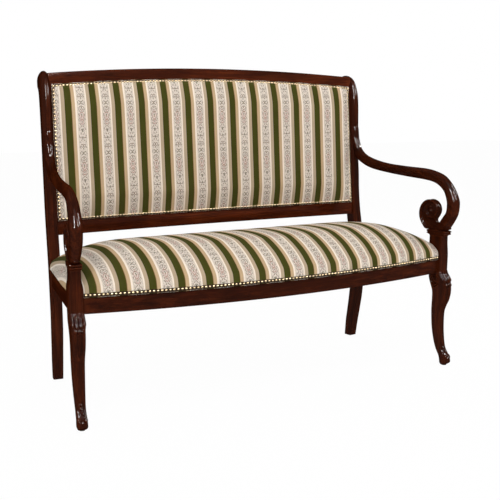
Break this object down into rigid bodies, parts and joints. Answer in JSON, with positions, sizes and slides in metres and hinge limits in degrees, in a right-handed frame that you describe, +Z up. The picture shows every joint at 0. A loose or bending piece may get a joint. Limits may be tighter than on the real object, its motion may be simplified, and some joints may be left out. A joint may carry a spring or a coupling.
{
  "type": "settee",
  "caption": "Upholstered settee with a bowed striped seat, a framed striped back panel, scrolled wooden arms, carved cabriole front legs and sabre rear legs.",
  "frame": {"origin": "on the floor, in the middle of the settee's length and depth", "axes": "+X along the settee to the right as seen from the front, +Y from the front to the back, +Z up"},
  "size_m": [1.3348, 0.6265, 1.0182],
  "materials": {
    "mahogany": "dark red-brown mahogany under gloss lacquer",
    "striped_fabric": "woven stripes of cream, olive green, tan and taupe with small floral medallions",
    "antique_brass": "pale antique brass, softly polished",
    "beech": "bare hidden frame wood",
    "padding": "cream wadding over foam",
    "jute": "natural jute",
    "black_cambric": "plain black dust cloth",
    "felt": "pressed felt",
    "steel": "plain steel"
  },
  "bodies": {
    "root": {"arm_collar_left": "mahogany", "arm_collar_right": "mahogany", "arm_dowel_left": "beech", "arm_dowel_right": "beech", "arm_left": "mahogany", "arm_right": "mahogany", "arm_screw_left": "steel", "arm_screw_right": "steel", "back_cover": "striped_fabric", "back_nail_strip": "antique_brass", "back_pad": "padding", "back_stile_left": "beech", "back_stile_right": "beech", "back_upright_left": "beech", "back_upright_right": "beech", "back_webbing": "jute", "crest_rail": "mahogany", "dust_cover": "black_cambric", "front_block_screw_left": "steel", "front_block_screw_right": "steel", "front_corner_block_left": "beech", "front_corner_block_right": "beech", "front_foot_glide_left": "felt", "front_foot_glide_right": "felt", "front_leg_left": "mahogany", "front_leg_right": "mahogany", "front_rail": "mahogany", "lower_back_rail": "mahogany", "outside_back_cover": "striped_fabric", "outside_nail_strip": "antique_brass", "rear_block_screw_left": "steel", "rear_block_screw_right": "steel", "rear_corner_block_left": "beech", "rear_corner_block_right": "beech", "rear_foot_glide_left": "felt", "rear_foot_glide_right": "felt", "rear_post_left": "mahogany", "rear_post_right": "mahogany", "rear_seat_rail": "mahogany", "seat_brace_left": "beech", "seat_brace_right": "beech", "seat_cover": "striped_fabric", "seat_hessian": "jute", "seat_nail_strip": "antique_brass", "seat_pad": "padding", "seat_webbing": "jute", "side_rail_left": "mahogany", "side_rail_right": "mahogany"}
  },
  "joints": []
}
